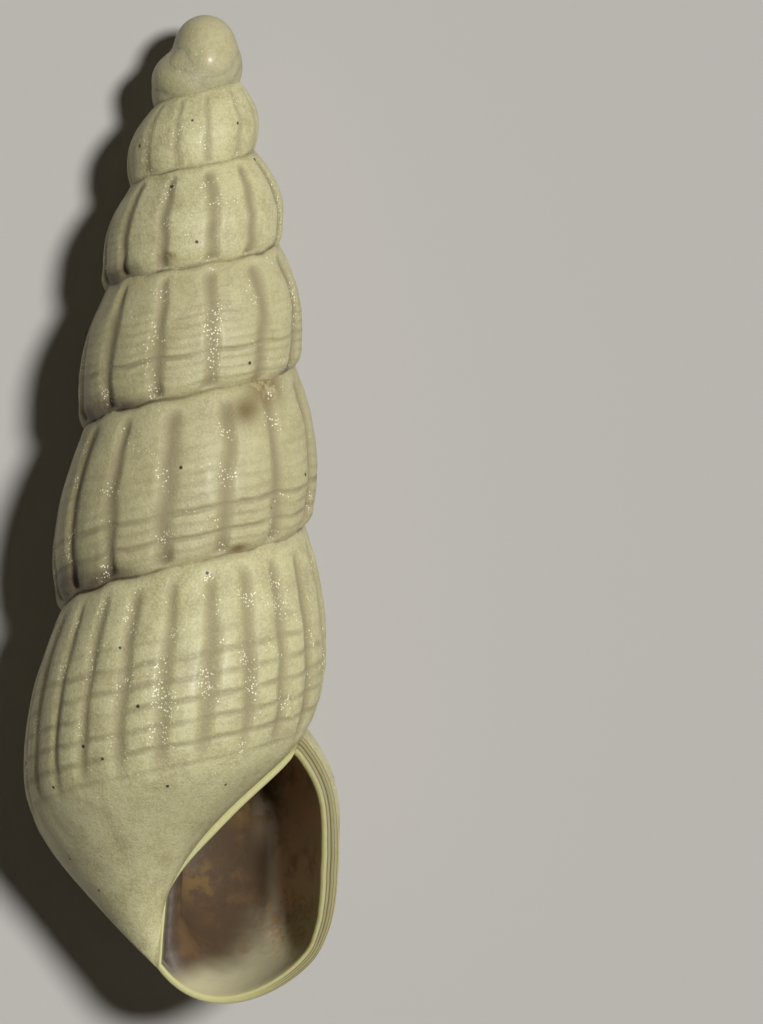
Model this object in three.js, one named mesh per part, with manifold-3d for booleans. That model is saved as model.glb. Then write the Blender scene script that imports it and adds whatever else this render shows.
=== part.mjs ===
// A slender, ribbed, high-spired sea snail shell, 2.5 mm long, coiled to the right.
// It lies on its back with the mouth facing up, the tip towards +Y, and rests on
// small flat spots under three whorls. Millimetres, +Z up.

import * as THREE from 'three';
import { ParametricGeometry } from 'three/addons/geometries/ParametricGeometry.js';
import { mergeGeometries, mergeVertices } from 'three/addons/utils/BufferGeometryUtils.js';
import Module from 'manifold-3d';

// Growth is counted in turns. Turn 0 is the seam at the right edge below the first
// ribbed whorl, whole turns are at the right edge, and quarter turns face the viewer.
const FIRST_TURN = -1.975;
const LAST_TURN = 4.025;
const STEPS_PER_TURN = 104;

// The seam's depth below the tip grows in a fixed ratio each turn.
const SEAM_SPREAD = 0.7614;
const SEAM_RATIO = 1.308;
const SEAM_OFFSET = 0.4264;
const DESCENT_AFTER_LIP = 0.5406;

// The girth is the radius at the bulge of a whorl. It is fitted to the smooth tip over
// spans of the first turns, counted back from turn 0, and widens towards the lip.
const GIRTH_START = 0.2145;
const GIRTH_GAIN = 0.0566;
const GIRTH_EASE = 0.00216;
const GIRTH_OF_BODY = 0.365;
const START_IN = 0.0102;
const START_IN_SPAN = [0.4, 1.1];
const START_OUT = 0.014;
const START_OUT_SPAN = [1.0, 1.5];
const START_FULL = 0.05;
const START_FULL_FROM = [1.5, 1.72];
const START_FULL_TO = [1.78, 1.95];
const LIP_FLARE = 0.0228;
const LIP_FLARE_SPAN = [3.55, 4.0];
const LEAN = 0.0127;
const LEAN_FROM = 0.292;
const LEAN_SPAN = 1.777;

// The section of a whorl: shoulder, bulge, and the fall below it.
const BULGE_AT = 0.65;
const SHOULDER_POWER = 1.9;
const LIP_SHOULDER_POWER = 3.4;
const LIP_SHOULDER_SPAN = [3.8, 4.0];
const EDGE_SHARE = 0.02;
const BASE_REACH = 1.59;
const FALL_POWER = 1.3;

// The base of the last whorl closes on the inner lip, a short line beside the axis.
const INNER_LIP_TOP = new THREE.Vector3(-0.0127, -2.2334, 0.0305);
const INNER_LIP_FOOT = new THREE.Vector3(-0.0203, -2.4213, 0.0305);
const BASE_SHOULDER = 0.0838;
const BASE_SPREAD = 0.0761;
const BASE_SPREAD_GAIN = 0.0711;
const BASE_RISE = 0.203;
const BASE_DIP = 0.3832;

// Broad flat ribs parted by narrow furrows, closer together on the last whorl.
const RIBS_BEFORE_START = 4.3;
const RIBS_PER_TURN = 12;
const RIB_CROWDING = 1.19;
const CROWDING_FROM = 1.6;
const FURROW_DEPTH = 0.0125;
const FURROW_CORE = 0.1;
const FURROW_EDGE = 0.27;
const FURROW_TOP = [0.02, 0.12];
const FURROW_FOOT = [0.88, 0.99];
const FIRST_FURROWS = 0.35;
const FURROWS_GROW = [-1, 0.2];

// The mouth. The wall's thickness is given at the seam, the bulge, the foot of the
// outer lip, the inner lip, the wall of the whorl before, and at the seam again.
const WALL_ROUND_MOUTH = [0.052, 0.046, 0.022, 0.013, 0.009, 0.052];
const MOUTH_CENTRE = new THREE.Vector3(0.178, -2.17, 0.05);
const LIP_ROUNDING = 0.006;
const HOLLOW_TURNS = 0.62;
const HOLLOW_NARROWING = 0.3;

// The smooth tip: a blunt dome, its shoulder at the right, and the knob of the tiny
// first whorl at the back.
const DOME_RADII = new THREE.Vector3(0.077, 0.078, 0.098);
const DOME_CENTRE = new THREE.Vector3(0.0025, -0.078, 0.0);
const SIDE_RADII = new THREE.Vector3(0.092, 0.085, 0.1);
const SIDE_CENTRE = new THREE.Vector3(0.005, -0.135, -0.005);
const NUCLEUS_RADII = new THREE.Vector3(0.046, 0.046, 0.046);
const NUCLEUS_CENTRE = new THREE.Vector3(-0.05, -0.1, -0.05);
const COIL_TOP = new THREE.Vector3(0.0, -0.1, 0.0);

// The rest: the tip dips until three whorls touch, and each has a small flat.
const DIP = THREE.MathUtils.degToRad(-5.8);
const FLAT_DEPTH = 0.014;

const SHELL_COLOUR = 0xc2bd9a;

const FACE_ROWS = 6;
const BASE_ROWS = 4;
const INNER_LIP_STEPS = 8;
const HOLLOW_ROWS = 9;
const WELD = 0.0002;

const { smoothstep, clamp, lerp } = THREE.MathUtils;

function seamDepth(turn) {
  const grown = Math.min(turn, LAST_TURN);
  const depth = SEAM_SPREAD * SEAM_RATIO ** grown - SEAM_OFFSET;
  return depth + DESCENT_AFTER_LIP * (turn - grown);
}

function pitch(turn) {
  return seamDepth(turn + 1) - seamDepth(turn);
}

function girth(turn) {
  const steady = GIRTH_START + GIRTH_GAIN * turn - GIRTH_EASE * turn * turn;
  const flare = LIP_FLARE * smoothstep(turn, ...LIP_FLARE_SPAN);
  const narrowed = START_IN * smoothstep(-turn, ...START_IN_SPAN);
  return steady + flare - narrowed + START_OUT * smoothstep(-turn, ...START_OUT_SPAN);
}

// How far the wall has drawn in, as a share of the girth, below the bulge.
function fall(below, turn) {
  const share = clamp(below / (BASE_REACH * girth(turn)), 0, 1);
  return 0.5 * (1 - Math.cos(Math.PI * share ** FALL_POWER));
}

// In front, the first part of the coil has no shoulder and runs on from the dome.
function seamRadius(turn) {
  const above = turn - 1;
  const drawnIn = girth(above) * (1 - fall((1 - BULGE_AT) * pitch(above), above));
  const front = smoothstep(-turn, ...START_FULL_FROM) * (1 - smoothstep(-turn, ...START_FULL_TO));
  return drawnIn + START_FULL * front;
}

// Depth of the furrows between the ribs: full between two ribs, none on a rib.
function furrow(turn, down) {
  const crowding = RIB_CROWDING * Math.max(0, turn - CROWDING_FROM) ** 3;
  const count = RIBS_BEFORE_START + RIBS_PER_TURN * turn + crowding;
  const off = Math.abs(count - Math.round(count));
  const across = 1 - smoothstep(off, FURROW_CORE, FURROW_EDGE);
  const along = smoothstep(down, ...FURROW_TOP) * (1 - smoothstep(down, ...FURROW_FOOT));
  const grown = lerp(FIRST_FURROWS, 1, smoothstep(turn, ...FURROWS_GROW));
  return FURROW_DEPTH * (girth(turn) / GIRTH_OF_BODY) * grown * across * along;
}

// The radius and depth of a whorl's face, down from the seam above (0) to the next (1).
function faceSection(turn, down) {
  const widest = girth(turn);
  if (down < BULGE_AT) {
    const up = seamRadius(turn);
    const towardsLip = smoothstep(turn, ...LIP_SHOULDER_SPAN);
    const power = lerp(SHOULDER_POWER, LIP_SHOULDER_POWER, towardsLip);
    const rise = 1 - (1 - down / BULGE_AT) ** power;
    return up + (widest - up) * rise;
  }
  return widest * (1 - fall((down - BULGE_AT) * pitch(turn), turn));
}

function onSpiral(radius, depth, turn, target = new THREE.Vector3()) {
  const angle = 2 * Math.PI * turn;
  const lean = LEAN * Math.sin(Math.PI * clamp((depth - LEAN_FROM) / LEAN_SPAN, 0, 1));
  return target.set(radius * Math.cos(angle) + lean, -depth, radius * Math.sin(angle));
}

function facePoint(turn, down, target) {
  const depth = seamDepth(turn) + down * pitch(turn);
  const radius = faceSection(turn, down) - furrow(turn, down);
  return onSpiral(radius, depth, turn, target);
}

function innerLipPoint(share) {
  return INNER_LIP_TOP.clone().lerp(INNER_LIP_FOOT, share);
}

// The base sweeps in one curve from the face's lower edge (0) to the inner lip (1),
// where it ends on the nearest of the lip's own corners.
function basePoint(turn, inward, target) {
  const grown = turn - (LAST_TURN - 1);
  const share = Math.min(1, 2 * grown);
  if (inward === 1) {
    return target.copy(innerLipPoint(Math.round(share * INNER_LIP_STEPS) / INNER_LIP_STEPS));
  }
  const radius = faceSection(turn, 1);
  const depth = seamDepth(turn + 1);
  const slope = (radius - faceSection(turn, 1 - EDGE_SHARE)) / (EDGE_SHARE * pitch(turn));
  const start = onSpiral(radius, depth, turn);
  const shoulder = onSpiral(radius + slope * BASE_SHOULDER, depth + BASE_SHOULDER, turn);
  const end = innerLipPoint(share);
  const spread = onSpiral(BASE_SPREAD + BASE_SPREAD_GAIN * grown, 0, turn);
  spread.y = BASE_RISE - BASE_DIP * grown * grown;
  const sweep = new THREE.CubicBezierCurve3(start, shoulder, spread.add(end), end);
  return sweep.getPoint(inward, target);
}

// Rows stand closer together near the seams, where the wall bends most.
const easedRow = (share) => 0.5 - 0.5 * Math.cos(Math.PI * share);

function facePatch() {
  const steps = Math.round((LAST_TURN - FIRST_TURN) * STEPS_PER_TURN);
  const point = (u, v, target) => {
    const turn = FIRST_TURN + Math.round(u * steps) / STEPS_PER_TURN;
    facePoint(turn, easedRow(v), target);
  };
  return new ParametricGeometry(point, steps, FACE_ROWS);
}

function basePatch() {
  const point = (u, v, target) => {
    const turn = LAST_TURN - 1 + Math.round(u * STEPS_PER_TURN) / STEPS_PER_TURN;
    basePoint(turn, v, target);
  };
  return new ParametricGeometry(point, STEPS_PER_TURN, BASE_ROWS);
}

// Closes the top of the coil, up the first edge and once round, inside the dome.
function topPatch() {
  const around = FACE_ROWS + STEPS_PER_TURN;
  const point = (u, v, target) => {
    const step = Math.round(u * around);
    if (step < FACE_ROWS) facePoint(FIRST_TURN, easedRow(1 - step / FACE_ROWS), target);
    else facePoint(FIRST_TURN + (step - FACE_ROWS) / STEPS_PER_TURN, 0, target);
    target.lerp(COIL_TOP, 1 - v);
  };
  return new ParametricGeometry(point, around, 1);
}

// The edge of the mouth: down the outer lip, round the base, along the inner lip
// and back up the wall of the whorl before.
const ROUND_MOUTH = FACE_ROWS + BASE_ROWS + INNER_LIP_STEPS + BASE_ROWS;

function mouthEdge(step) {
  const target = new THREE.Vector3();
  const pastFace = step - FACE_ROWS;
  const pastBase = pastFace - BASE_ROWS;
  const pastLip = pastBase - INNER_LIP_STEPS;
  if (pastFace <= 0) return facePoint(LAST_TURN, easedRow(step / FACE_ROWS), target);
  if (pastBase <= 0) return basePoint(LAST_TURN, pastFace / BASE_ROWS, target);
  if (pastLip <= 0) return innerLipPoint(1 - pastBase / INNER_LIP_STEPS);
  return basePoint(LAST_TURN - 1, 1 - pastLip / BASE_ROWS, target);
}

function mouthWall(step) {
  const place = (step / ROUND_MOUTH) * (WALL_ROUND_MOUTH.length - 1);
  const before = Math.min(Math.floor(place), WALL_ROUND_MOUTH.length - 2);
  return lerp(WALL_ROUND_MOUTH[before], WALL_ROUND_MOUTH[before + 1], place - before);
}

function insideEdge(step) {
  const edge = mouthEdge(step);
  const inward = MOUTH_CENTRE.clone().sub(edge).setLength(mouthWall(step));
  return edge.add(inward);
}

// Carries a point of the mouth back along the coil, smaller as the whorl was smaller.
function windBack(point, back, target) {
  const turn = LAST_TURN - back;
  const radius = Math.hypot(point.x, point.z) * (girth(turn) / girth(LAST_TURN));
  const angle = Math.atan2(point.z, point.x) - 2 * Math.PI * back;
  const below = -point.y - seamDepth(LAST_TURN);
  const depth = seamDepth(turn) + below * (pitch(turn) / pitch(LAST_TURN));
  return target.set(radius * Math.cos(angle), -depth, radius * Math.sin(angle));
}

// The inside of the mouth, from the closed end of the hollow out to the lip's edge.
function mouthPatch() {
  const rows = HOLLOW_ROWS + 3;
  const point = (u, v, target) => {
    const step = Math.round(u * ROUND_MOUTH);
    const row = Math.round(v * rows);
    const inner = insideEdge(step);
    const outer = mouthEdge(step);
    if (row === rows) {
      target.copy(outer);
    } else if (row === rows - 1) {
      target.copy(inner).lerp(outer, 0.5);
      target.z += LIP_ROUNDING;
    } else {
      const share = 1 - Math.max(0, row - 1) / HOLLOW_ROWS;
      const narrowed = inner.lerp(MOUTH_CENTRE, row === 0 ? 1 : HOLLOW_NARROWING * share);
      windBack(narrowed, HOLLOW_TURNS * share, target);
    }
  };
  return new ParametricGeometry(point, ROUND_MOUTH, rows);
}

const wasm = await Module();
wasm.setup();

// One closed solid from patches whose edges meet, with spent triangles dropped.
function solidOf(patches) {
  const joined = mergeGeometries(patches);
  joined.deleteAttribute('normal');
  joined.deleteAttribute('uv');
  const merged = mergeVertices(joined, WELD);
  const corners = merged.index.array;
  const kept = [];
  for (let i = 0; i < corners.length; i += 3) {
    const [a, b, c] = corners.slice(i, i + 3);
    if (a !== b && b !== c && c !== a) kept.push(a, b, c);
  }
  return new wasm.Manifold(new wasm.Mesh({
    numProp: 3,
    vertProperties: merged.attributes.position.array,
    triVerts: new Uint32Array(kept),
  }));
}

function geometryOf(solid) {
  const mesh = solid.getMesh();
  const geometry = new THREE.BufferGeometry();
  geometry.setAttribute('position', new THREE.BufferAttribute(mesh.vertProperties, 3));
  geometry.setIndex(new THREE.BufferAttribute(mesh.triVerts, 1));
  geometry.computeVertexNormals();
  return geometry;
}

function ball(radii, centre, turns, rows) {
  const geometry = new THREE.SphereGeometry(1, turns, rows);
  geometry.scale(radii.x, radii.y, radii.z);
  geometry.translate(centre.x, centre.y, centre.z);
  return solidOf([geometry]);
}

// The whole shell stands upright here, its tip at the origin and its mouth to +Z.
function uprightShell() {
  const coil = solidOf([facePatch(), basePatch(), topPatch(), mouthPatch()]);
  const dome = ball(DOME_RADII, DOME_CENTRE, 20, 12);
  const side = ball(SIDE_RADII, SIDE_CENTRE, 18, 10);
  const nucleus = ball(NUCLEUS_RADII, NUCLEUS_CENTRE, 12, 8);
  return coil.add(side).add(dome).add(nucleus);
}

// Laid on its back, moved over the origin and cut level where it touches the ground.
function restingShell() {
  const geometry = geometryOf(uprightShell());
  geometry.rotateX(DIP);
  geometry.computeBoundingBox();
  const box = geometry.boundingBox;
  const middle = box.getCenter(new THREE.Vector3());
  geometry.translate(-middle.x, -middle.y, -box.min.z - FLAT_DEPTH);
  const size = box.getSize(new THREE.Vector3());
  const ground = new THREE.BoxGeometry(2 * size.x, 2 * size.y, size.z);
  ground.translate(0, 0, -size.z / 2);
  return solidOf([geometry]).subtract(solidOf([ground]));
}

const shellMaterial = new THREE.MeshStandardMaterial({
  color: SHELL_COLOUR,
  roughness: 0.45,
  metalness: 0,
});

const shell = new THREE.Mesh(geometryOf(restingShell()), shellMaterial);
shell.name = 'shell';

const group = new THREE.Group();
group.add(shell);

export default group;
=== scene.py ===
from math import atan2, cos, exp, hypot, pi, radians, sin

import bmesh
import bpy
from mathutils import Matrix, Vector, noise


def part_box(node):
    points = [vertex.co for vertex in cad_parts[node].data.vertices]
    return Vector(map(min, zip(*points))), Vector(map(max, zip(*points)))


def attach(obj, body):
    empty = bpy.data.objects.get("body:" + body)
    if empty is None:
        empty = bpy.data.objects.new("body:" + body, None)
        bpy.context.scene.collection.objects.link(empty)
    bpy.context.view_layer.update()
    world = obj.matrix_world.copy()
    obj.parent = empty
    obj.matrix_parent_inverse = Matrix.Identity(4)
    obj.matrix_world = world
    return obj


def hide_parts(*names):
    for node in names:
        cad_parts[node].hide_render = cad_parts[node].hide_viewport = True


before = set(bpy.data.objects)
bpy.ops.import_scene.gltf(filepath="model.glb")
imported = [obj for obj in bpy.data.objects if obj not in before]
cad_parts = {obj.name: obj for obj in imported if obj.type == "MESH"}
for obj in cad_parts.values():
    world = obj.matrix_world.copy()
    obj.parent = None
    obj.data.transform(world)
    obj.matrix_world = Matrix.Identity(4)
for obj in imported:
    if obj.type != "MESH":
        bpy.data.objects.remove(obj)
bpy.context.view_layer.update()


# The coiled wall. A sea snail grows its shell as one tube of aragonite, wound to the
# right round an upright axis, each whorl cemented to the one above along the seam.
# It is worked out in millimetres with the tip at the origin and the mouth to +Z.
# Growth is counted in turns: whole turns are at the right edge, quarters in front.
FIRST_TURN = -1.975
LAST_TURN = 4.025
STEPS_PER_TURN = 300

SEAM_SPREAD = 0.7614
SEAM_RATIO = 1.308
SEAM_OFFSET = 0.4264
DESCENT_AFTER_LIP = 0.5406

GIRTH_START = 0.2145
GIRTH_GAIN = 0.0566
GIRTH_EASE = 0.00216
GIRTH_OF_BODY = 0.365
START_IN = 0.0102
START_OUT = 0.014
START_FULL = 0.05
LIP_FLARE = 0.0228
LEAN = 0.0127
LEAN_FROM = 0.292
LEAN_SPAN = 1.777

BULGE_AT = 0.65
SHOULDER_POWER = 1.9
LIP_SHOULDER_POWER = 3.4
BASE_REACH = 1.59
FALL_POWER = 1.3

RIBS_BEFORE_START = 4.3
RIBS_PER_TURN = 12
RIB_CROWDING = 1.19
CROWDING_FROM = 1.6
FURROW_DEPTH = 0.0115
RIB_FOOT_OUT = 0.006
SEAM_NOTCH = 0.007
SEAM_NOTCH_SPAN = 0.005
SEAM_RAGGEDNESS = 0.0042
FURROW_HALF_WIDTH = 0.22
FURROW_CROWN = 0.2
PIT_AT = 0.945
PIT_DEPTH = 0.0018
WALL_UNEVENNESS = 0.0026
FINE_UNEVENNESS = 0.0009
SCAR_TURN = 3.624
SCAR_STEP = 0.043
SCAR_RIDGE = 0.006
SCAR_WIDTH = 0.004
FACE_ROWS = 40


def clamp(x, low=0.0, high=1.0):
    return max(low, min(high, x))


def smoothstep(x, low, high):
    s = clamp((x - low) / (high - low))
    return s * s * (3 - 2 * s)


def bell(x, width):
    return exp(-(x / width) ** 2)


def rib_count(turn):
    """How many furrows the shell has grown by this turn. They crowd towards the lip."""
    crowding = RIB_CROWDING * max(0.0, turn - CROWDING_FROM) ** 3
    return RIBS_BEFORE_START + RIBS_PER_TURN * turn + crowding


def seam_wander(turn):
    """The seam is a little ragged, and dips under the feet of the ribs above it."""
    ragged = noise.noise(Vector((turn * 11, 0.6, 0.2)))
    ragged += 0.7 * noise.noise(Vector((turn * 37, 4.6, 0.2)))
    ragged -= 0.6 * cos(2 * pi * rib_count(turn - 1))
    return SEAM_RAGGEDNESS * ragged * smoothstep(turn, -0.6, 1.2) * (1 - smoothstep(turn, 3.9, 4.0))


def seam_depth(turn):
    grown = min(turn, LAST_TURN)
    steady = SEAM_SPREAD * SEAM_RATIO ** grown - SEAM_OFFSET + DESCENT_AFTER_LIP * (turn - grown)
    return steady + seam_wander(turn)


def pitch(turn):
    return seam_depth(turn + 1) - seam_depth(turn)


def girth(turn):
    steady = GIRTH_START + GIRTH_GAIN * turn - GIRTH_EASE * turn * turn
    steady += LIP_FLARE * smoothstep(turn, 3.55, 4.0)
    return steady - START_IN * smoothstep(-turn, 0.4, 1.1) + START_OUT * smoothstep(-turn, 1.0, 1.5)


def fall(below, turn):
    share = clamp(below / (BASE_REACH * girth(turn)))
    return 0.5 * (1 - cos(pi * share ** FALL_POWER))


def seam_radius(turn):
    above = turn - 1
    front = smoothstep(-turn, 1.5, 1.72) * (1 - smoothstep(-turn, 1.78, 1.95))
    return girth(above) * (1 - fall((1 - BULGE_AT) * pitch(above), above)) + START_FULL * front


def face_section(turn, down):
    widest = girth(turn)
    if down < BULGE_AT:
        up = seam_radius(turn)
        power = SHOULDER_POWER + (LIP_SHOULDER_POWER - SHOULDER_POWER) * smoothstep(turn, 3.8, 4.0)
        return up + (widest - up) * (1 - (1 - down / BULGE_AT) ** power)
    return widest * (1 - fall((down - BULGE_AT) * pitch(turn), turn))


def on_spiral(radius, depth, turn):
    angle = 2 * pi * turn
    lean = LEAN * sin(pi * clamp((depth - LEAN_FROM) / LEAN_SPAN))
    return Vector((radius * cos(angle) + lean, -depth, radius * sin(angle)))


def scar_line(down):
    """The turn at which the healed break on the back of the last whorl runs, by its height."""
    step = SCAR_STEP * (1 - smoothstep(down, 0.46, 0.6))
    return SCAR_TURN + step + 0.006 * noise.noise(Vector((down * 17, 2.2, 0)))


def healing(turn, down):
    """Where the shell grew back after the break: 1 beside the scar, fading with growth."""
    along = smoothstep(down, 0.42, 0.52) * (1 - smoothstep(down, 1.0, 1.12))
    past = turn - scar_line(down)
    return along * smoothstep(past, 0, 0.006) * (1 - smoothstep(past, 0.06, 0.19))


def rib_offset(turn, down):
    """How far this is from the nearest furrow: 0 in it, 0.5 on the middle of a rib."""
    sway = 0.14 * noise.noise(Vector((turn * 9, down * 1.2, 3.7)))
    sway += 0.07 * noise.noise(Vector((turn * 23, down * 5, 8.1)))
    sway += 0.9 * healing(turn, down) * noise.noise(Vector((turn * 14, down * 5, 1.1)))
    count = rib_count(turn) + sway
    return abs(count - round(count))


def furrow(turn, down):
    """How open the furrow between two ribs is here, from 0 on a rib to 1."""
    width = 1 + 0.25 * noise.noise(Vector((turn * 12, down * 3, 5.5))) + 0.25 * smoothstep(turn, 2.8, 3.3)
    off = rib_offset(turn, down) / width
    crown = FURROW_CROWN * (1 - smoothstep(off, 0.05, 0.5))
    body = smoothstep(turn, 3.0, 3.15)
    back = smoothstep(turn, 3.42, 3.6)
    low = 0.955 - 0.155 * body + 0.2 * back
    high = 0.99 + 0.02 * body + 0.17 * back + 0.35 * smoothstep(turn, 3.78, 3.9)
    along = smoothstep(down, 0.03, 0.13) * (1 - smoothstep(down, low, high))
    along *= smoothstep(turn, -1.15, -0.8) * (0.55 + 0.45 * smoothstep(turn, -0.5, 0.4))
    along *= 1 - 0.35 * smoothstep(turn, 3.1, 3.5) - 0.45 * smoothstep(turn, 3.93, 4.0)
    along *= 1 + 0.12 * noise.noise(Vector((turn * 15, down * 6, 9.5)))
    return ((1 - smoothstep(off, 0.0, FURROW_HALF_WIDTH)) * (1 - crown) + crown) * along


def seam_notch(turn, down):
    """How near this is to the ragged notch of a seam, from 0 to 1."""
    above, below = down * pitch(turn), (1 - down) * pitch(turn)
    near = (turn, above) if above < below else (turn + 1, below)
    if near[0] > LAST_TURN or near[1] > 0.04:
        return 0.0
    ragged = 0.5 + 0.9 * noise.noise(Vector((near[0] * 7, 1.3, 0.4)))
    ragged += 0.5 * noise.noise(Vector((near[0] * 24, 1.3, 0.4)))
    ragged += 0.5 * noise.noise(Vector((near[0] * 80, 5.3, 0.4)))
    return clamp(ragged) * bell(near[1], SEAM_NOTCH_SPAN) * smoothstep(near[0], -1.2, -0.3)


def foot_pit(turn, down):
    """The shaded pit at the foot of a furrow, where the ribs' feet stand out over the seam."""
    across = 1 - smoothstep(rib_offset(turn, down), 0.05, 0.26)
    along = smoothstep(turn, -0.9, 0.0) * (1 - smoothstep(turn, 2.98, 3.05))
    return across * bell(down - PIT_AT, 0.035) * along


def face_relief(turn, down):
    """How far the wall stands out from its round section here, below 0 in a hollow."""
    size = girth(turn) / GIRTH_OF_BODY
    inside = smoothstep(down, 0, 0.05) * (1 - smoothstep(down, 0.95, 1) * (1 - smoothstep(turn, 3.025, 3.06)))
    place = Vector((cos(2 * pi * turn) * size * 4, seam_depth(turn) * 9 + down * pitch(turn) * 9,
                    sin(2 * pi * turn) * size * 4))
    wander = WALL_UNEVENNESS * noise.noise(place) + FINE_UNEVENNESS * noise.noise(place * 3.1)
    feet = bell((1 - down) * pitch(turn) - 0.03, 0.022) * smoothstep(turn, -0.5, 0.5)
    feet *= RIB_FOOT_OUT * (1 - smoothstep(turn, 2.9, 3.05)) * (1 - furrow(turn, down))
    scar = bell(turn - scar_line(down), SCAR_WIDTH) * smoothstep(down, 0.42, 0.5)
    scar *= 1 - smoothstep(down, 0.92, 1.0)
    scar = SCAR_RIDGE * (scar - healing(turn, down) * (0.6 + noise.noise(place * 2.2)))
    hollows = FURROW_DEPTH * furrow(turn, down) + PIT_DEPTH * foot_pit(turn, down)
    return inside * (wander + feet + scar) - size * (hollows + SEAM_NOTCH * seam_notch(turn, down))


def face_point(turn, down):
    depth = seam_depth(turn) + down * pitch(turn)
    return on_spiral(face_section(turn, down) + face_relief(turn, down), depth, turn)


def row_at(share):
    """Rows stand closer together near the seams, where the wall bends most."""
    return 0.8 * (0.5 - 0.5 * cos(pi * share)) + 0.2 * share


shell_mesh = bmesh.new()
growth = shell_mesh.loops.layers.uv.new("growth")
furrow_marks = shell_mesh.verts.layers.float.new("furrow")
seam_marks = shell_mesh.verts.layers.float.new("seam")
pit_marks = shell_mesh.verts.layers.float.new("pit")
scar_marks = shell_mesh.verts.layers.float.new("scar")


def sheet(columns, rows, place, finish=0):
    """A grid of faces, bent into place. `place` gives a point, and where it is in the growth."""
    marks = {}
    grid = bmesh.ops.create_grid(shell_mesh, x_segments=columns, y_segments=rows, size=0.5)
    for vert in grid["verts"]:
        column = round((vert.co.x + 0.5) * columns)
        row = round((vert.co.y + 0.5) * rows)
        vert.co, marks[vert] = place(column, row)
    for face in {face for vert in grid["verts"] for face in vert.link_faces}:
        face.material_index = finish
        face.smooth = True
        for loop in face.loops:
            loop[growth].uv = marks[loop.vert]
    return marks


def face_place(column, row):
    turn, down = FIRST_TURN + column / STEPS_PER_TURN, row_at(row / FACE_ROWS)
    return face_point(turn, down), (turn, down)


face_steps = round((LAST_TURN - FIRST_TURN) * STEPS_PER_TURN)
for vert, (turn, down) in sheet(face_steps, FACE_ROWS, face_place).items():
    vert[furrow_marks] = furrow(turn, down)
    vert[seam_marks] = seam_notch(turn, down)
    vert[pit_marks] = foot_pit(turn, down)
    vert[scar_marks] = healing(turn, down)


# The base. Below the last whorl's bulge the wall is smooth and sweeps in one round
# curve from the whorl's lower edge to the inner lip, a short line beside the axis.
INNER_LIP_TOP = Vector((-0.0127, -2.2334, 0.0305))
INNER_LIP_FOOT = Vector((-0.0203, -2.4213, 0.0305))
BASE_SHOULDER = 0.0838
BASE_SPREAD = 0.0761
BASE_SPREAD_GAIN = 0.0711
BASE_RISE = 0.203
BASE_DIP = 0.3832
BASE_ROWS = 26
INNER_LIP_STEPS = STEPS_PER_TURN // 2


def inner_lip_point(share):
    return INNER_LIP_TOP.lerp(INNER_LIP_FOOT, share)


def below_bulge(inward):
    """How far down the whorl a place on the base is, carried on from the face's count."""
    return 1 + 0.46 * inward + 0.5 * inward * inward


def base_point(turn, inward):
    grown = turn - (LAST_TURN - 1)
    radius, depth = face_section(turn, 1), seam_depth(turn + 1)
    slope = (radius - face_section(turn, 0.98)) / (0.02 * pitch(turn))
    start = on_spiral(radius, depth, turn)
    shoulder = on_spiral(radius + slope * BASE_SHOULDER, depth + BASE_SHOULDER, turn)
    end = inner_lip_point(min(1, 2 * grown))
    spread = on_spiral(BASE_SPREAD + BASE_SPREAD_GAIN * grown, 0, turn)
    spread.y = BASE_RISE - BASE_DIP * grown * grown
    left = 1 - inward
    swept = (start * left ** 3 + shoulder * 3 * inward * left ** 2
             + (end + spread) * 3 * inward ** 2 * left + end * inward ** 3)
    relief = face_relief(turn, below_bulge(inward)) * left ** 1.5
    return swept + on_spiral(relief, 0, turn) - on_spiral(0, 0, turn)


def base_place(column, row):
    turn, inward = LAST_TURN - 1 + column / STEPS_PER_TURN, row / BASE_ROWS
    return base_point(turn, inward), (turn, below_bulge(inward))


for vert, (turn, down) in sheet(STEPS_PER_TURN, BASE_ROWS, base_place).items():
    vert[furrow_marks] = furrow(turn, down) * (2 - down)

# The mouth. Its rim is a pale rounded band, thick on the outer lip and thin on the
# inner one, and behind it the hollow of the tube winds back into the last whorl.
WALL_ROUND_MOUTH = [0.052, 0.041, 0.018, 0.011, 0.009, 0.052]
CORNERS_ROUND_MOUTH = (0, 3 / 11, 5 / 11, 9 / 11, 1)
MOUTH_CENTRE = Vector((0.178, -2.17, 0.05))
LIP_ROUNDING = 0.007
HOLLOW_TURNS = 0.62
HOLLOW_NARROWING = 0.3
HOLLOW_ROWS = 34
RIM_ROWS = 12
ROUND_MOUTH = FACE_ROWS + BASE_ROWS + INNER_LIP_STEPS + BASE_ROWS


def mouth_edge(step):
    past_face = step - FACE_ROWS
    past_base = past_face - BASE_ROWS
    past_lip = past_base - INNER_LIP_STEPS
    if past_face <= 0:
        return face_point(LAST_TURN, row_at(step / FACE_ROWS))
    if past_base <= 0:
        return base_point(LAST_TURN, past_face / BASE_ROWS)
    if past_lip <= 0:
        return inner_lip_point(1 - past_base / INNER_LIP_STEPS)
    return base_point(LAST_TURN - 1, 1 - past_lip / BASE_ROWS)


def round_mouth(step):
    """The share of the way round the mouth, with the corners where the lip's parts meet."""
    for part, steps in enumerate((FACE_ROWS, BASE_ROWS, INNER_LIP_STEPS, BASE_ROWS)):
        if step <= steps:
            break
        step -= steps
    here, after = CORNERS_ROUND_MOUTH[part:part + 2]
    return here + (after - here) * step / steps


def mouth_wall(share):
    place = share * (len(WALL_ROUND_MOUTH) - 1)
    before = min(int(place), len(WALL_ROUND_MOUTH) - 2)
    here, after = WALL_ROUND_MOUTH[before:before + 2]
    return here + (after - here) * (place - before)


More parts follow.
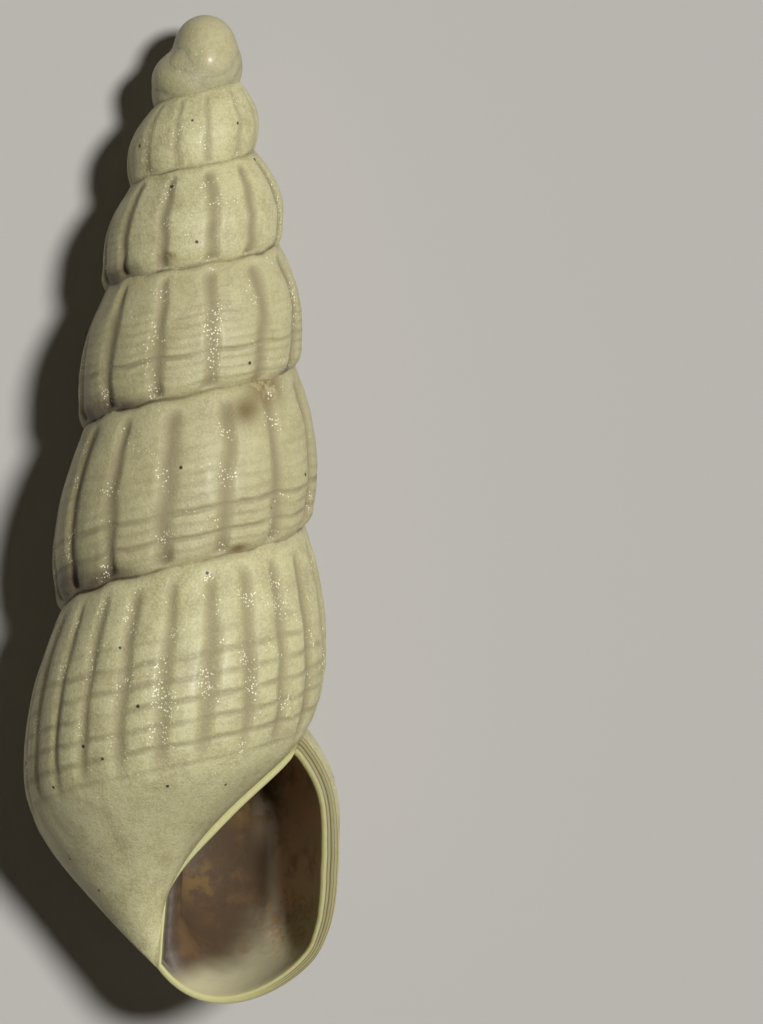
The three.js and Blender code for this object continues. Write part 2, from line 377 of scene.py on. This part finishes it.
def wind_back(point, back):
    """Carries a point of the mouth back along the coil, smaller as the whorl was smaller."""
    turn = LAST_TURN - back
    radius = hypot(point.x, point.z) * girth(turn) / girth(LAST_TURN)
    angle = atan2(point.z, point.x) - 2 * pi * back
    below = (-point.y - seam_depth(LAST_TURN)) * pitch(turn) / pitch(LAST_TURN)
    return Vector((radius * cos(angle), -seam_depth(turn) - below, radius * sin(angle)))


def mouth_place(column, row):
    outer = mouth_edge(column)
    around = round_mouth(column)
    wall = mouth_wall(around)
    inner = outer + (MOUTH_CENTRE - outer).normalized() * wall
    rim = row - HOLLOW_ROWS
    if rim >= 0:
        share = rim / RIM_ROWS
        point = inner.lerp(outer, share)
        rounding = LIP_ROUNDING * min(1, wall / 0.03)
        ridges = 0.5 * bell(share - 0.25, 0.15) - 0.4 * bell(share - 0.55, 0.1)
        ridges *= 1 - smoothstep(around, 0.2, 0.34)
        point.z += rounding * (sin(pi * share) ** 0.6 + ridges)
        return point, (around, 1 + share)
    share = 1 - row / HOLLOW_ROWS
    narrowed = inner.lerp(MOUTH_CENTRE, 1 if row == 0 else HOLLOW_NARROWING * share)
    return wind_back(narrowed, HOLLOW_TURNS * share), (around, 1 - share)


sheet(ROUND_MOUTH, HOLLOW_ROWS + RIM_ROWS, mouth_place, finish=1)

# The tip. The larva's own shell is a smooth glassy dome, set on its side on the first
# ribbed whorl, with its tiny first whorl showing as a knob at the back.
COIL_TOP = Vector((0.0, -0.1, 0.0))
ROUND_TOP = FACE_ROWS + STEPS_PER_TURN
TIP_HEART = Vector((-0.01, -0.125, -0.008))
# Each lobe of the tip: its half-widths and its middle. The first two are the dome, the next
# two carry its front down into the first whorl, and the last is the knob.
TIP_LOBES = [
    (Vector((0.092, 0.085, 0.1)), Vector((0.005, -0.135, -0.005))),
    (Vector((0.077, 0.078, 0.098)), Vector((0.0025, -0.078, 0.0))),
    (Vector((0.088, 0.09, 0.116)), Vector((0.004, -0.122, 0.0))),
    (Vector((0.103, 0.086, 0.111)), Vector((-0.027, -0.17, 0.0))),
    (Vector((0.043, 0.043, 0.043)), Vector((-0.036, -0.1, -0.052))),
]
TIP_BLEND = 15
CREASE_WIDTH = 0.005
TIP_GROWTH = (-2, 0.5)


def top_place(column, row):
    if column < FACE_ROWS:
        edge = face_point(FIRST_TURN, row_at(1 - column / FACE_ROWS))
    else:
        edge = face_point(FIRST_TURN + (column - FACE_ROWS) / STEPS_PER_TURN, 0)
    return COIL_TOP.lerp(edge, row), (FIRST_TURN, 0)


def lobe_reach(heading, radii, centre):
    """How far a lobe of the tip reaches from the heart of the tip, this way."""
    ray = Vector(heading[axis] / radii[axis] for axis in range(3))
    offset = Vector((TIP_HEART - centre)[axis] / radii[axis] for axis in range(3))
    half = ray.dot(offset)
    inside = half * half - ray.dot(ray) * (offset.dot(offset) - 1)
    return max(0.0, (inside ** 0.5 - half) / ray.dot(ray)) if inside > 0 else 0.0


sheet(ROUND_TOP, 1, top_place)
bmesh.ops.remove_doubles(shell_mesh, verts=shell_mesh.verts, dist=0.00002)
glass_marks = shell_mesh.verts.layers.float.new("glass")
crease_marks = shell_mesh.verts.layers.float.new("crease")
tip = bmesh.ops.create_uvsphere(shell_mesh, u_segments=80, v_segments=52, radius=1)
for vert in tip["verts"]:
    heading = vert.co.normalized()
    reaches = [lobe_reach(heading, *lobe) for lobe in TIP_LOBES]
    vert.co = TIP_HEART + heading * sum(reach ** TIP_BLEND for reach in reaches) ** (1 / TIP_BLEND)
    past_knob = max(reaches[:-1]) - reaches[-1]
    vert[glass_marks] = smoothstep(past_knob, -0.004, 0.006) * smoothstep(-vert.co.z, -0.03, 0.03)
    vert[crease_marks] = bell(past_knob, CREASE_WIDTH)
for face in {face for vert in tip["verts"] for face in vert.link_faces}:
    face.smooth = True
    for loop in face.loops:
        loop[growth].uv = TIP_GROWTH
bmesh.ops.recalc_face_normals(shell_mesh, faces=shell_mesh.faces)

# Laid on its back with the tip a little lower, and worn level where it rests.
DIP = radians(-5.8)
MILLIMETRE = 0.001
bmesh.ops.rotate(shell_mesh, verts=shell_mesh.verts, cent=(0, 0, 0), matrix=Matrix.Rotation(DIP, 3, "X"))
cad_low, cad_high = (Vector(corner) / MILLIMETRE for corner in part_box("shell"))
low = Vector(min(vert.co[axis] for vert in shell_mesh.verts) for axis in range(3))
high = Vector(max(vert.co[axis] for vert in shell_mesh.verts) for axis in range(3))
shift = (cad_low + cad_high - low - high) / 2
shift.z = cad_high.z - high.z
for vert in shell_mesh.verts:
    vert.co += shift
    vert.co.z = max(vert.co.z, 0)
    vert.co *= MILLIMETRE

shell_data = bpy.data.meshes.new("grown_shell")
shell_mesh.to_mesh(shell_data)
shell_mesh.free()
grown_shell = bpy.data.objects.new("grown_shell", shell_data)
bpy.context.collection.objects.link(grown_shell)
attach(grown_shell, "root")
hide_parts("shell")


# The shell's finish: creamy, faintly translucent aragonite under a thin glaze, greyer
# in the furrows, partly as painted shade, brown in the seams, with painted shade at the
# whorls' feet, painted glints, black specks and earthy stains.
class Field:
    """A socket of a material, which plain arithmetic works on."""

    def __init__(self, tree, socket):
        self.tree = tree
        self.socket = socket

    def node(self, kind, settings=None, out=0, **sockets):
        made = self.tree.nodes.new(kind)
        for name, value in (settings or {}).items():
            setattr(made, name, value)
        for name, value in sockets.items():
            place = int(name[1:]) if name[1:].isdigit() else name.replace("_", " ")
            if isinstance(value, Field):
                self.tree.links.new(value.socket, made.inputs[place])
            else:
                made.inputs[place].default_value = value
        return Field(self.tree, made.outputs[out])

    def maths(self, operation, *values):
        return self.node("ShaderNodeMath", {"operation": operation},
                         **{f"_{place}": value for place, value in enumerate(values)})

    def __add__(self, other):
        return self.maths("ADD", self, other)

    def __radd__(self, other):
        return self.maths("ADD", other, self)

    def __sub__(self, other):
        return self.maths("SUBTRACT", self, other)

    def __rsub__(self, other):
        return self.maths("SUBTRACT", other, self)

    def __mul__(self, other):
        return self.maths("MULTIPLY", self, other)

    def __rmul__(self, other):
        return self.maths("MULTIPLY", other, self)

    def __abs__(self):
        return self.maths("ABSOLUTE", self)

    def fraction(self):
        return self.maths("FRACT", self)

    def near(self, middle, reach):
        """1 where this is at `middle`, falling softly to 0 at `reach` from it."""
        return abs(self - middle).between(reach, 0)

    def between(self, low, high):
        """0 below `low` and 1 above `high`, with a soft change."""
        return self.node("ShaderNodeMapRange", {"interpolation_type": "SMOOTHSTEP"},
                         _0=self, _1=low, _2=high)

    def blend(self, start, end):
        """From the colour `start` where this is 0 to `end` where it is 1."""
        return self.node("ShaderNodeMix", {"data_type": "RGBA"}, out=2, _0=self, _6=start, _7=end)

    def grain(self, scale, detail=2.0, roughness=0.5):
        """Noise from 0 to 1 on this place, with `scale` spots a metre."""
        return self.node("ShaderNodeTexNoise", Vector=self, Scale=scale, Detail=detail, Roughness=roughness)


def new_finish(name):
    material = bpy.data.materials.new(name)
    material.use_nodes = True
    tree = material.node_tree
    tree.nodes.clear()
    surface = tree.nodes.new("ShaderNodeBsdfPrincipled")
    output = tree.nodes.new("ShaderNodeOutputMaterial")
    tree.links.new(surface.outputs["BSDF"], output.inputs["Surface"])
    return material, Field(tree, None), surface


CREAM = (0.47, 0.43, 0.225, 1)
PALE_CREAM = (0.63, 0.60, 0.35, 1)
GREY_CREAM = (0.36, 0.315, 0.17, 1)
FURROW_BROWN = (0.26, 0.22, 0.125, 1)
SEAM_BROWN = (0.085, 0.055, 0.04, 1)
STAIN_ORANGE = (0.17, 0.115, 0.035, 1)
FOOT_SHADE_BROWN = (0.075, 0.047, 0.035, 1)
SPECK_BLACK = (0.02, 0.014, 0.018, 1)
PAINTED_GLINT_WHITE = (0.95, 0.93, 0.68, 1)
GLASS_GREY = (0.2, 0.175, 0.125, 1)
# Each stain: the turn and the place down the whorl, and how far it spreads both ways.
STAINS = [(2.128, 0.03, 0.06, 0.2), (2.172, 0.15, 0.04, 0.15), (1.15, 0.98, 0.025, 0.06),
          (0.304, 0.87, 0.03, 0.07), (2.18, 0.97, 0.025, 0.05), (3.70, 0.68, 0.04, 0.16)]
# The same for the painted shade under the whorls' feet, at the two edges of the mouth side.
SHADED_FEET = [(2.44, 0.93, 0.13, 0.19), (2.36, 0.97, 0.07, 0.08), (1.44, 0.95, 0.13, 0.17),
               (1.36, 0.98, 0.07, 0.08), (0.43, 0.95, 0.13, 0.19), (0.07, 0.98, 0.04, 0.06),
               (1.07, 0.98, 0.04, 0.06)]
GLINT_CELLS_PER_METRE = 150000.0
SPECKS_PER_METRE = 13000.0
SPIRE_ROWS_PER_WHORL = 13
BODY_ROWS_PER_WHORL = 9.8
BODY_ROWS_START = 0.214
UPPER_GROOVE_AT = 0.69
LOWER_GROOVE_AT = 0.845
SHELL_ROUGHNESS = 0.46
SHELL_RELIEF = 2.6e-6

shell_finish, start, surface = new_finish("creamy_shell")
place = start.node("ShaderNodeTexCoord", out=3)
grown = start.node("ShaderNodeUVMap", {"uv_map": "growth"})
turn = start.node("ShaderNodeSeparateXYZ", Vector=grown)
down = start.node("ShaderNodeSeparateXYZ", out=1, Vector=grown)
furrow_mark, seam_mark, pit_mark, scar_mark, glass_mark, crease_mark = (
    start.node("ShaderNodeAttribute", {"attribute_name": name}, out=2)
    for name in ("furrow", "seam", "pit", "scar", "glass", "crease"))

clouds = place.grain(5000, 2)
soft_grain = place.grain(16000, 3)
fine_grain = place.grain(70000, 3, 0.65)
sugar = place.grain(170000, 1)

# Fine grooves run with the growth, one strong pair on the spire and a set on the body.
body = turn.between(2.95, 3.1)
row = down + (place.grain(9000, 2) - 0.5) * 0.03
fine_rows = abs((row * SPIRE_ROWS_PER_WHORL).fraction() - 0.5).between(0.15, 0.5)
body_rows = abs((row * BODY_ROWS_PER_WHORL - BODY_ROWS_START).fraction() - 0.5).between(0.26, 0.5)
spire_grooves = row.near(UPPER_GROOVE_AT, 0.032) * turn.between(0.9, 1.3)
spire_grooves = spire_grooves + 0.7 * row.near(LOWER_GROOVE_AT, 0.026) * turn.between(1.9, 2.1)
spire_grooves = spire_grooves + fine_rows * 0.45 * row.between(0.2, 0.42) * turn.between(0.0, 0.8)
base_end = 1.0 + 0.16 * turn.between(3.42, 3.6) - 0.3 * turn.between(3.78, 3.9)
body_grooves = body_rows * row.between(0.25, 0.45) * row.between(base_end, base_end - 0.12)
body_grooves = body_grooves * (1 - 0.75 * turn.between(3.8, 3.88))
grooves = body * body_grooves + (1 - body) * spire_grooves * row.between(0.97, 0.92)
grooves = grooves * (0.3 + 0.7 * place.grain(9000, 1).between(0.3, 0.6)) * (1 - 0.5 * furrow_mark)

rib_top = furrow_mark.between(0.5, 0.1) * (1 - grooves) * (1 - glass_mark)
colour = (clouds * 0.4 + soft_grain * 0.6).between(0.12, 0.6).blend(GREY_CREAM, CREAM)
colour = (rib_top * (soft_grain * 0.5 + fine_grain * 0.5).between(0.36, 0.62) * 0.6).blend(colour, PALE_CREAM)
colour = (sugar.between(0.5, 0.62) * 0.35).blend(colour, PALE_CREAM)
colour = (sugar.between(0.45, 0.36) * 0.22).blend(colour, GREY_CREAM)
# Painted shade, partly the furrows' own greyer tone: darker brown in the furrows and fine grooves.
colour = (furrow_mark * (0.5 + 0.4 * furrow_mark) * (1 - 0.2 * body)).blend(colour, FURROW_BROWN)
colour = (grooves * 0.48).blend(colour, FURROW_BROWN)
# Painted shade: a soft darker band just below and just above each seam, under the overhang.
seam_shade_band = down.between(0.05, 0.0) + down.between(0.955, 1.0) * (1 - body)
colour = (seam_shade_band * soft_grain.between(0.3, 0.6) * 0.4).blend(colour, FURROW_BROWN)
growth_lines = start.node("ShaderNodeCombineXYZ", X=turn * 90, Y=down * 1.2).grain(1.0, 3)
colour = (growth_lines.between(0.45, 0.75) * 0.15 * down.between(0.8, 1.05)).blend(colour, FURROW_BROWN)
middle_whorls = turn.between(0.6, 1.3) * turn.between(3.05, 2.8)
colour = (middle_whorls * 0.3).blend(colour, GREY_CREAM)
tip = turn.between(-1.1, -1.7)
colour = (tip * 0.45).blend(colour, GREY_CREAM)
glassy = place.grain(11000, 2).between(0.4, 0.6)
colour = (glass_mark * (0.35 + 0.4 * glassy)).blend(colour, GLASS_GREY)
colour = (crease_mark * 0.55).blend(colour, PALE_CREAM)
colour = (scar_mark * soft_grain.between(0.42, 0.62) * 0.5).blend(colour, FURROW_BROWN)
# Painted shade: the pits at the furrows' feet darker brown, more on the left side, away from the light.
left_side_shade = turn.fraction().near(0.45, 0.2)
colour = (pit_mark * soft_grain.between(0.3, 0.55) * (0.22 + 0.15 * left_side_shade)).blend(colour, SEAM_BROWN)
fading = (1 - 0.75 * turn.fraction().near(0.22, 0.16)) * (0.15 + 0.85 * turn.between(-0.4, 0.9))
colour = (seam_mark.between(0.25, 0.8) * fading * 0.8).blend(colour, SEAM_BROWN)
for stain_and_shade_turn, stain_and_shade_down, turns_wide, share_high in STAINS:
    stain_and_shade_spot = turn.near(stain_and_shade_turn, turns_wide) * down.near(stain_and_shade_down, share_high)
    patchy = (soft_grain * 0.6 + fine_grain * 0.4).between(0.32, 0.52)
    colour = (stain_and_shade_spot * patchy * 0.95).blend(colour, STAIN_ORANGE)
# Painted shade: dark brown under the whorls' feet, where shadow falls.
for stain_and_shade_turn, stain_and_shade_down, turns_wide, share_high in SHADED_FEET:
    stain_and_shade_spot = turn.near(stain_and_shade_turn, turns_wide) * down.near(stain_and_shade_down, share_high)
    colour = (stain_and_shade_spot * soft_grain.between(0.2, 0.5) * 0.8).blend(colour, FOOT_SHADE_BROWN)
# Painted highlights: tiny white glints in the colour, clustered by the furrows, fewer on the base.
glint_cells = {"Vector": place, "Scale": GLINT_CELLS_PER_METRE}
painted_glints = start.node("ShaderNodeTexVoronoi", **glint_cells).between(0.45, 0.15)
drawn = start.node("ShaderNodeSeparateColor", Color=start.node("ShaderNodeTexVoronoi", out=1, **glint_cells))
glint_clusters = place.grain(13000, 2).between(0.46, 0.66) * (0.3 + 0.7 * furrow_mark.between(0.08, 0.3))
painted_glints = painted_glints * (drawn + glint_clusters * (1 - 0.6 * down.between(1.0, 1.2))).between(1.0, 1.35)
colour = (painted_glints * 0.9 * (1 - seam_mark)).blend(colour, PAINTED_GLINT_WHITE)
dots = {"Vector": place, "Scale": SPECKS_PER_METRE}
specks = start.node("ShaderNodeTexVoronoi", **dots).between(0.075, 0.055)
drawn = start.node("ShaderNodeSeparateColor", Color=start.node("ShaderNodeTexVoronoi", out=1, **dots))
colour = (specks * drawn.between(0.42, 0.43) * 0.9 * (1 - tip)).blend(colour, SPECK_BLACK)
surface_height = fine_grain * 0.5 + sugar * 0.5 - grooves * 1.3
relief = start.node("ShaderNodeBump", Height=surface_height, Distance=SHELL_RELIEF, Strength=1.0)
sheen = SHELL_ROUGHNESS + 0.2 * fine_grain - 0.25 * painted_glints - 0.12 * glass_mark + 0.25 * furrow_mark
glaze = (0.06 + 0.18 * tip) * (1 - furrow_mark.between(0.1, 0.6)) * (1 - seam_mark)
start.tree.links.new(glaze.socket, surface.inputs["Coat Weight"])
start.tree.links.new(colour.socket, surface.inputs["Base Color"])
start.tree.links.new(sheen.socket, surface.inputs["Roughness"])
start.tree.links.new(relief.socket, surface.inputs["Normal"])
surface.inputs["Subsurface Weight"].default_value = 0.25
surface.inputs["Subsurface Radius"].default_value = (1.0, 0.85, 0.55)
surface.inputs["Subsurface Scale"].default_value = 2.5e-5
surface.inputs["Coat Roughness"].default_value = 0.25

# The mouth's finish: the lip is pale cream, and the hollow behind it is smooth and
# greyish brown, paler inside the foot of the lip, with crumbs of brown dirt. It also has
# painted light at the right and at the top, a pale patch over the shade the lip casts there.
LIP_CREAM = (0.54, 0.51, 0.25, 1)
LIP_OLIVE = (0.14, 0.115, 0.05, 1)
HOLLOW_BROWN = (0.105, 0.07, 0.04, 1)
HOLLOW_PAINTED_LIGHT = (0.68, 0.54, 0.36, 1)
HOLLOW_SHADE = (0.05, 0.034, 0.022, 1)
HOLLOW_GREY = (0.48, 0.44, 0.28, 1)
DIRT_BROWN = (0.20, 0.115, 0.05, 1)
DIRT_OCHRE = (0.2, 0.125, 0.05, 1)
CRUMB_ORANGE = (0.5, 0.3, 0.12, 1)
LINING_ROUGHNESS = 0.42
LINING_RELIEF = 1.5e-6
# Each patch of dirt in the hollow: where it lies, seen from above, and how far it reaches.
DIRT_PATCHES = [((0.000165, -0.00076, 0), 0.00012), ((0.00005, -0.00099, 0), 0.00007)]
CRUMB_PLACE = (0.0003, -0.00106, 0)
CRUMB_REACH = 0.00011

mouth_finish, start, surface = new_finish("mouth_lining")
place = start.node("ShaderNodeTexCoord", out=3)
grown = start.node("ShaderNodeUVMap", {"uv_map": "growth"})
around = start.node("ShaderNodeSeparateXYZ", Vector=grown)
outward = start.node("ShaderNodeSeparateXYZ", out=1, Vector=grown)
foot = around.near(0.33, 0.2)
edge_grain = (place.grain(12000, 2) - 0.5) * 0.06
inner_side = around.between(0.41, 0.47) * around.between(0.98, 0.9)
lit = outward + edge_grain + foot * 0.16 - inner_side * 0.2
across = start.node("ShaderNodeSeparateXYZ", Vector=place)
along = start.node("ShaderNodeSeparateXYZ", out=1, Vector=place)
# Painted light: a pale patch on the hollow's right wall, over the shade the lip casts there.
painted_light_on_wall = around.between(0.4, 0.3) * across.between(2.1e-4, 2.7e-4)
colour = painted_light_on_wall.blend(HOLLOW_BROWN, HOLLOW_PAINTED_LIGHT)
# Painted light: a pale patch at the top of the hollow.
colour = (across.between(1.6e-4, 2.1e-4) * along.between(-9.2e-4, -7.8e-4) * 0.45).blend(colour, HOLLOW_PAINTED_LIGHT)
colour = lit.between(0.86, 1.04).blend(colour, HOLLOW_GREY)
colour = (inner_side * outward.between(0.5, 0.85) * 0.5).blend(colour, HOLLOW_SHADE)
colour = outward.between(0.97, 1.08).blend(colour, LIP_CREAM)
lines = abs((outward * 5.0).fraction() - 0.5).between(0.25, 0.45)
outer_side = outward.between(1.22, 1.4) * around.between(0.42, 0.3)
colour = (outer_side * (0.6 + 0.4 * lines)).blend(colour, LIP_OLIVE)
dirt = place.grain(11000, 4, 0.65).between(0.5, 0.68) * outward.between(0.97, 0.85)
colour = (dirt * 0.45).blend(colour, DIRT_BROWN)
level = place.node("ShaderNodeVectorMath", {"operation": "MULTIPLY"}, _0=place, _1=(1, 1, 0))
for dirt_place, reach in DIRT_PATCHES:
    away = level.node("ShaderNodeVectorMath", {"operation": "DISTANCE"}, out=1, _0=level, _1=dirt_place)
    patch = away.between(reach, reach * 0.3) * place.grain(26000, 3).between(0.4, 0.56)
    colour = (patch * 0.85 * outward.between(1.0, 0.96)).blend(colour, DIRT_OCHRE)
away = level.node("ShaderNodeVectorMath", {"operation": "DISTANCE"}, out=1, _0=level, _1=CRUMB_PLACE)
crumbs = away.between(CRUMB_REACH, CRUMB_REACH * 0.3) * place.grain(60000, 2).between(0.53, 0.6)
colour = (crumbs * 0.8 * outward.between(1.0, 0.96)).blend(colour, CRUMB_ORANGE)
lining_grain = place.grain(60000, 3)
relief = start.node("ShaderNodeBump", Height=lining_grain, Distance=LINING_RELIEF, Strength=1.0)
sheen = LINING_ROUGHNESS + 0.2 * lining_grain
start.tree.links.new(colour.socket, surface.inputs["Base Color"])
start.tree.links.new(sheen.socket, surface.inputs["Roughness"])
start.tree.links.new(relief.socket, surface.inputs["Normal"])
surface.inputs["Subsurface Weight"].default_value = 0.5
surface.inputs["Subsurface Radius"].default_value = (1.0, 0.8, 0.5)
surface.inputs["Subsurface Scale"].default_value = 6.0e-5
surface.inputs["Specular IOR Level"].default_value = 0.25
surface.inputs["Coat Weight"].default_value = 0.03
surface.inputs["Coat Roughness"].default_value = 0.3
for finish in (shell_finish, mouth_finish):
    shell_data.materials.append(finish)

# The floor: a plain pale matt sheet, well wider than the view.
FLOOR_WIDTH = 0.4
FLOOR_GREY = (0.45, 0.435, 0.41, 1)
floor_mesh = bmesh.new()
bmesh.ops.create_grid(floor_mesh, x_segments=1, y_segments=1, size=FLOOR_WIDTH / 2)
floor_data = bpy.data.meshes.new("floor")
floor_mesh.to_mesh(floor_data)
floor_mesh.free()
floor = bpy.data.objects.new("floor", floor_data)
bpy.context.collection.objects.link(floor)
floor_finish, start, surface = new_finish("pale_floor")
surface.inputs["Base Color"].default_value = FLOOR_GREY
surface.inputs["Roughness"].default_value = 0.9
floor_data.materials.append(floor_finish)

# The camera looks at the mouth side, straight at the shell's upright face, turned so
# that the tip leans a little to the right, and far enough off to flatten the view.
MILLIMETRES_PER_PIXEL = 0.002538
PICTURE = (763, 1024)
TIP_IN_PICTURE = (205.5, 15)
PICTURE_TURN = radians(2.4)
CAMERA_AWAY = 30
SENSOR_HEIGHT = 36

laid = Matrix.Rotation(DIP, 3, "X")
shell_right, shell_up, shell_front = (laid @ Vector(axis) for axis in ((1, 0, 0), (0, 1, 0), (0, 0, 1)))
picture_right = shell_right * cos(PICTURE_TURN) + shell_up * sin(PICTURE_TURN)
picture_up = shell_up * cos(PICTURE_TURN) - shell_right * sin(PICTURE_TURN)
middle = shift.copy()
middle += picture_right * (PICTURE[0] / 2 - TIP_IN_PICTURE[0]) * MILLIMETRES_PER_PIXEL
middle -= picture_up * (PICTURE[1] / 2 - TIP_IN_PICTURE[1]) * MILLIMETRES_PER_PIXEL
camera_data = bpy.data.cameras.new("camera")
camera = bpy.data.objects.new("camera", camera_data)
bpy.context.collection.objects.link(camera)
camera_data.sensor_width = SENSOR_HEIGHT
half_height = PICTURE[1] / 2 * MILLIMETRES_PER_PIXEL
camera_data.lens = SENSOR_HEIGHT / 2 * CAMERA_AWAY / half_height
camera_data.clip_start = 0.001
camera_data.clip_end = 10
camera.matrix_world = Matrix.Translation((middle + shell_front * CAMERA_AWAY) * MILLIMETRE) @ Matrix(
    (picture_right, picture_up, shell_front)).transposed().to_4x4()
bpy.context.scene.camera = camera

# Soft studio light: a key from the upper right, a faint fill from the left and a dim,
# warm room all round. Each lamp has its strength, its spread in degrees and its side.
LAMPS = (
    ("key", 3.5, 10, Vector((0.44, 0.3, 1))),
    ("fill", 0.03, 30, Vector((-0.35, 0.1, 1))),
)
ROOM_COLOUR = (1, 0.86, 0.68, 1)
ROOM_STRENGTH = 0.045
for name, strength, spread, towards in LAMPS:
    light = bpy.data.lights.new(name, "SUN")
    light.energy = strength
    light.angle = radians(spread)
    lamp = bpy.data.objects.new(name, light)
    lamp.rotation_mode = "QUATERNION"
    lamp.rotation_quaternion = towards.to_track_quat("Z", "Y")
    bpy.context.collection.objects.link(lamp)
room = bpy.data.worlds.new("room")
room.use_nodes = True
background = room.node_tree.nodes["Background"]
background.inputs["Color"].default_value = ROOM_COLOUR
background.inputs["Strength"].default_value = ROOM_STRENGTH
bpy.context.scene.world = room
bpy.context.scene.view_settings.view_transform = "Standard"
